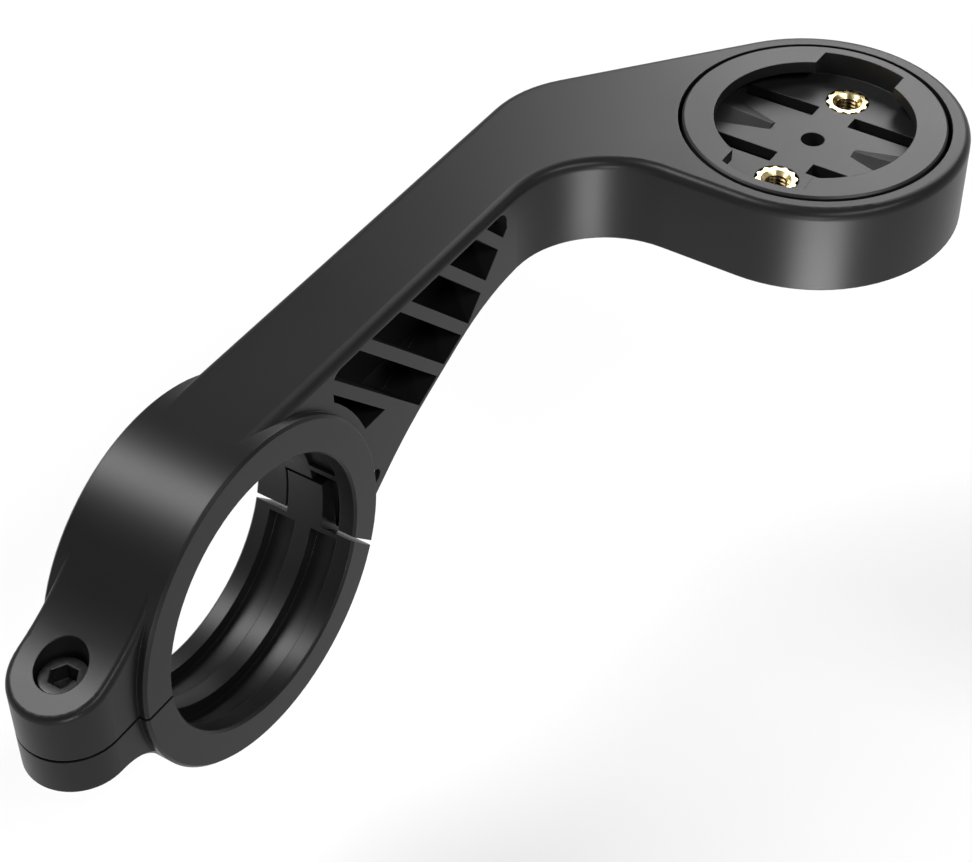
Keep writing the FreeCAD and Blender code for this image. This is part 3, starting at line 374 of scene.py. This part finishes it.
# Clamp jaw: the lower clamp half, moulded from the same nylon. A hook on its tongue turns on the
# arm's hinge bar, and a threaded insert in its lug takes the clamp bolt.
jaw_nylon = moulded_nylon("jaw_nylon", ARM_BLACK, ARM_GLOSS, ARM_SPECULAR)
dress("clamp_jaw", jaw_nylon)

# Puck: the quarter-turn socket, moulded on its own and set into the head with a gap all round.
# Its nylon is a little paler and drier than the arm's.
PUCK_BLACK = (0.0110, 0.0110, 0.0115)
PUCK_GLOSS = (0.38, 0.45)
PUCK_SPECULAR = 0.29
puck_nylon = moulded_nylon("puck_nylon", PUCK_BLACK, PUCK_GLOSS, PUCK_SPECULAR)
dress("puck", puck_nylon)

# Accessory inserts: two brass bushes pressed into the puck's floor, turned from bar, with an M3
# thread, a countersunk mouth and a flange whose points bite into the nylon. Radii and heights of
# all turned pieces are in mm, and heights count from the piece's top.
STEPS = 192
SHARP_ANGLE = 32
AXIS_TIP = 0.02
ROWS_A_TURN = 12
THREAD_FLANK = 2.8
THREAD_CREST = 0.2
M3_PITCH = 0.5
INSERT_MOUTH = 2.02
INSERT_WALL = 2.08
INSERT_LEAD = 1.90
INSERT_EXIT = 1.62
INSERT_LENGTH = 5.0
INSERT_BORE = 1.50
# Inside this radius the bore's brass is painted dark as shade.
INSERT_SHADE_RADIUS = 1.56 * MM
INSERT_THREAD = 0.24
FLANGE_THICK = 0.60
FLANGE_CHAMFER = 0.06
FLANGE_ROOT = 2.52
FLANGE_TOOTH = 0.31
FLANGE_POINTS = 12
FLANGE_SHARPNESS = 1.6
BRASS = (0.80, 0.66, 0.36)
# Brass colour painted dark as shade for the faces deep in the threaded bores.
BORE_SHADE_COLOUR = (0.10, 0.075, 0.040)
BRASS_GLOSS = (0.20, 0.36)
TARNISH = (0.72, 0.66, 0.55)
TARNISH_FROM = 0.25
TARNISH_TO = 0.62
TARNISH_SCALE = 900.0
TURNING_SCALE = 6000.0
METAL_GRAIN = 0.002 * MM


def turned(name, rings, centre, loop=False):
    """A solid turned about an upright line. A ring is a radius and a height in mm, and the radius
    may be a function of the angle. The last ring joins the first in a loop, and else both close."""
    points = []
    for radius, height in rings:
        for step in range(STEPS):
            angle = 2 * math.pi * step / STEPS
            reach = radius(angle) if callable(radius) else radius
            spoke = Vector((reach * math.cos(angle), reach * math.sin(angle), height))
            points.append(centre + spoke * MM)
    faces = []
    for row in range(len(rings) if loop else len(rings) - 1):
        upper = row * STEPS
        lower = (row + 1) % len(rings) * STEPS
        for step in range(STEPS):
            beside = (step + 1) % STEPS
            faces.append((upper + step, upper + beside, lower + beside, lower + step))
    if not loop:
        faces.append(tuple(reversed(range(STEPS))))
        faces.append(tuple(range((len(rings) - 1) * STEPS, len(rings) * STEPS)))
    mesh = bpy.data.meshes.new(name)
    mesh.from_pydata(points, [], faces)
    mesh.polygons.foreach_set("use_smooth", [True] * len(faces))
    mesh.update()
    mesh.set_sharp_from_angle(angle=math.radians(SHARP_ANGLE))
    piece = bpy.data.objects.new(name, mesh)
    bpy.context.scene.collection.objects.link(piece)
    return piece


def thread(outer, depth, pitch, top, bottom):
    """Rings of a screw thread from one height down to another. It fades out over its first and
    last half turn."""
    rows = round((top - bottom) / pitch * ROWS_A_TURN)
    rings = []
    for row in range(rows + 1):
        height = top + (bottom - top) * row / rows
        fade = min(1.0, 2 * (top - height) / pitch, 2 * (height - bottom) / pitch)

        def radius(angle, height=height, fade=fade):
            turn = (height / pitch - angle / (2 * math.pi)) % 1
            groove = min(1.0, max(0.0, THREAD_FLANK * abs(turn - 0.5) - THREAD_CREST))
            return outer - depth * fade * groove

        rings.append((radius, height))
    return rings


def brass_metal(name, colour):
    """Turned brass with a fine grain and a slow change of tarnish."""
    material, surface = new_material(name)
    tree = material.node_tree
    shader = add_node(tree, "ShaderNodeBsdfPrincipled", Metallic=1.0)
    place = tree.nodes.new("ShaderNodeTexCoord")
    stain = add_node(tree, "ShaderNodeTexNoise", Scale=TARNISH_SCALE, Detail=4.0, Roughness=0.6)
    ramp = tree.nodes.new("ShaderNodeValToRGB")
    dull, clean = ramp.color_ramp.elements
    dull.position = TARNISH_FROM
    dull.color = (*(part * share for part, share in zip(colour, TARNISH)), 1)
    clean.position = TARNISH_TO
    clean.color = (*colour, 1)
    gloss = add_node(tree, "ShaderNodeMapRange", To_Min=BRASS_GLOSS[0], To_Max=BRASS_GLOSS[1])
    marks = add_node(tree, "ShaderNodeTexNoise", Scale=TURNING_SCALE, Detail=2.0)
    bump = add_node(tree, "ShaderNodeBump", Strength=1.0, Distance=METAL_GRAIN)
    for texture in (stain, marks):
        tree.links.new(place.outputs["Object"], texture.inputs["Vector"])
    tree.links.new(stain.outputs["Fac"], ramp.inputs["Fac"])
    tree.links.new(stain.outputs["Fac"], gloss.inputs["Value"])
    tree.links.new(ramp.outputs["Color"], shader.inputs["Base Color"])
    tree.links.new(gloss.outputs["Result"], shader.inputs["Roughness"])
    tree.links.new(marks.outputs["Fac"], bump.inputs["Height"])
    tree.links.new(bump.outputs["Normal"], shader.inputs["Normal"])
    tree.links.new(shader.outputs[0], surface)
    return material


def node_axis(node):
    """The point on a node's upright axis at the node's top."""
    low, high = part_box(node)
    return Vector(((low.x + high.x) / 2, (low.y + high.y) / 2, high.z))


def flange_point(angle):
    """Radius of the toothed flange."""
    wave = 0.5 + 0.5 * math.cos(FLANGE_POINTS * angle)
    return FLANGE_ROOT + FLANGE_TOOTH * wave ** FLANGE_SHARPNESS


def flange_edge(angle):
    """Radius of the flange inside its chamfer."""
    return flange_point(angle) - FLANGE_CHAMFER


def paint_bore_shade(bush, axis, bore):
    """Gives the faces inside a bush's bore the brass painted dark as shade."""
    bush.data.materials.append(bore_shade_brass)
    for face in bush.data.polygons:
        across = face.center - axis
        if math.hypot(across.x, across.y) < bore:
            face.material_index = 1


brass = brass_metal("turned_brass", BRASS)
# The second brass is darkened: painted shade inside the threaded holes.
bore_shade_brass = brass_metal("painted_bore_shade", BORE_SHADE_COLOUR)
for node in ("insert_front", "insert_rear"):
    rings = [
        (INSERT_MOUTH, 0.0),
        (flange_edge, 0.0),
        (flange_point, -FLANGE_CHAMFER),
        (flange_point, FLANGE_CHAMFER - FLANGE_THICK),
        (flange_edge, -FLANGE_THICK),
        (INSERT_WALL, -FLANGE_THICK),
        (INSERT_WALL, 0.2 - INSERT_LENGTH),
        (INSERT_LEAD, -INSERT_LENGTH),
        (INSERT_EXIT, -INSERT_LENGTH),
    ]
    mouth_end = INSERT_BORE - INSERT_MOUTH
    exit_end = INSERT_EXIT - INSERT_BORE - INSERT_LENGTH
    rings += reversed(thread(INSERT_BORE, INSERT_THREAD, M3_PITCH, mouth_end, exit_end))
    insert = turned(f"{node}_threaded", rings, node_axis(node), loop=True)
    insert.data.materials.append(brass)
    paint_bore_shade(insert, node_axis(node), INSERT_SHADE_RADIUS)
    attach(insert, "mount")
    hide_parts(node)

# Clamp bolt: an M4 socket-head screw in black oxide, rolled thread, knurled head. It stands in the
# upper lug's counterbore and draws the jaw up.
M4_PITCH = 0.7
BOLT_SOCKET = 1.50
BOLT_SOCKET_DEPTH = 2.2
HEAD_RADIUS = 2.98
HEAD_HEIGHT = 3.9
KNURL_TEETH = 48
KNURL_DEPTH = 0.06
BOLT_SHANK = 1.95
SHANK_END = -6.5
BOLT_THREAD = 0.40
BOLT_END = -11.9
OXIDE = (0.012, 0.012, 0.013)
OXIDE_WORN = (0.028, 0.028, 0.030)
OXIDE_FROM = 0.3
OXIDE_TO = 0.75
OXIDE_SCALE = 1400.0
OXIDE_GLOSS = (0.34, 0.5)
OXIDE_METALLIC = 0.4
OXIDE_SPECULAR = 0.4
SCREW_EDGE = 0.08 * MM


def black_oxide():
    """Oiled black oxide on steel: dark, half metallic, with paler wear on the high spots."""
    material, surface = new_material("black_oxide")
    tree = material.node_tree
    shader = add_node(
        tree,
        "ShaderNodeBsdfPrincipled",
        Metallic=OXIDE_METALLIC,
        Specular_IOR_Level=OXIDE_SPECULAR,
    )
    place = tree.nodes.new("ShaderNodeTexCoord")
    mottle = add_node(tree, "ShaderNodeTexNoise", Scale=OXIDE_SCALE, Detail=4.0, Roughness=0.6)
    ramp = tree.nodes.new("ShaderNodeValToRGB")
    black, worn = ramp.color_ramp.elements
    black.position = OXIDE_FROM
    black.color = (*OXIDE, 1)
    worn.position = OXIDE_TO
    worn.color = (*OXIDE_WORN, 1)
    gloss = add_node(tree, "ShaderNodeMapRange", To_Min=OXIDE_GLOSS[0], To_Max=OXIDE_GLOSS[1])
    edge = add_node(tree, "ShaderNodeGroup", edge_group, Radius=SCREW_EDGE)
    bump = add_node(tree, "ShaderNodeBump", Strength=1.0, Distance=METAL_GRAIN)
    tree.links.new(place.outputs["Object"], mottle.inputs["Vector"])
    tree.links.new(mottle.outputs["Fac"], ramp.inputs["Fac"])
    tree.links.new(mottle.outputs["Fac"], gloss.inputs["Value"])
    tree.links.new(mottle.outputs["Fac"], bump.inputs["Height"])
    tree.links.new(edge.outputs["Normal"], bump.inputs["Normal"])
    tree.links.new(ramp.outputs["Color"], shader.inputs["Base Color"])
    tree.links.new(gloss.outputs["Result"], shader.inputs["Roughness"])
    tree.links.new(bump.outputs["Normal"], shader.inputs["Normal"])
    tree.links.new(shader.outputs[0], surface)
    return material


def hexagon(apothem):
    """Radius of a hexagon as a function of the angle."""
    sixth = math.pi / 3
    return lambda angle: apothem / math.cos((angle + sixth / 2) % sixth - sixth / 2)


def knurl(angle):
    """Radius of the head's knurled side."""
    return HEAD_RADIUS - KNURL_DEPTH * (0.5 + 0.5 * math.cos(KNURL_TEETH * angle))


oxide = black_oxide()
rings = [
    (AXIS_TIP, -2.9),
    (hexagon(BOLT_SOCKET), -BOLT_SOCKET_DEPTH),
    (hexagon(BOLT_SOCKET), -0.12),
    (hexagon(BOLT_SOCKET + 0.12), 0.0),
    (2.66, 0.0),
    (2.80, -0.06),
    (2.90, -0.30),
    (knurl, -0.45),
    (knurl, 0.3 - HEAD_HEIGHT),
    (2.85, -HEAD_HEIGHT),
    (BOLT_SHANK + 0.2, -HEAD_HEIGHT),
    (BOLT_SHANK, -HEAD_HEIGHT - 0.2),
    (BOLT_SHANK, SHANK_END),
]
rings += thread(BOLT_SHANK, BOLT_THREAD, M4_PITCH, SHANK_END, BOLT_END + 0.3)
rings += [(BOLT_SHANK - BOLT_THREAD, BOLT_END), (AXIS_TIP, BOLT_END)]
bolt = turned("clamp_bolt_threaded", rings, node_axis("clamp_bolt"))
bolt.data.materials.append(oxide)
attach(bolt, "bolt")
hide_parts("clamp_bolt")

# Jaw insert: a flanged brass bush pulled up into the lower lug from below. The clamp bolt turns
# into its M4 thread.
BUSH_WALL = 2.90
BUSH_FLANGE = 3.50
BUSH_FLANGE_TOP = -3.8
BUSH_END = -4.6
BUSH_BORE = 2.40
BUSH_THREAD = 0.33
BUSH_CHAMFER = 0.1
rings = [
    (2.30, 0.0),
    (BUSH_WALL - 0.08, 0.0),
    (BUSH_WALL, -0.08),
    (BUSH_WALL, BUSH_FLANGE_TOP),
    (BUSH_FLANGE - BUSH_CHAMFER, BUSH_FLANGE_TOP),
    (BUSH_FLANGE, BUSH_FLANGE_TOP - BUSH_CHAMFER),
    (BUSH_FLANGE, BUSH_END + BUSH_CHAMFER),
    (BUSH_FLANGE - BUSH_CHAMFER, BUSH_END),
    (2.35, BUSH_END),
]
rings += reversed(thread(BUSH_BORE, BUSH_THREAD, M4_PITCH, -0.2, BUSH_END + 0.2))
jaw_insert = turned("jaw_insert_threaded", rings, node_axis("jaw_insert"), loop=True)
jaw_insert.data.materials.append(brass)
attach(jaw_insert, "jaw")
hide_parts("jaw_insert")

# Puck screw: a low countersunk M3 screw in black oxide, driven up through the head's floor into
# the middle of the puck. Its 2 mm hexagon faces down.
SCREW_RADIUS = 1.45
SCREW_THREAD = 0.25
SCREW_NECK = -4.5
SCREW_HEAD = 2.80
SCREW_END = -6.1
SCREW_SOCKET = 1.00
rings = [
    (AXIS_TIP, -0.05),
    (0.75, 0.0),
    (1.10, -0.35),
]
rings += thread(SCREW_RADIUS, SCREW_THREAD, M3_PITCH, -0.5, -4.2)
rings += [
    (1.50, SCREW_NECK),
    (SCREW_HEAD - 0.1, SCREW_NECK),
    (SCREW_HEAD, SCREW_NECK - 0.1),
    (SCREW_HEAD, SCREW_END + 0.8),
    (2.00, SCREW_END),
    (hexagon(SCREW_SOCKET + 0.08), SCREW_END),
    (hexagon(SCREW_SOCKET), SCREW_END + 0.08),
    (hexagon(SCREW_SOCKET), -5.15),
    (AXIS_TIP, -4.9),
]
puck_screw = turned("puck_screw_threaded", rings, node_axis("puck_screw"))
puck_screw.data.materials.append(oxide)
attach(puck_screw, "mount")
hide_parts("puck_screw")
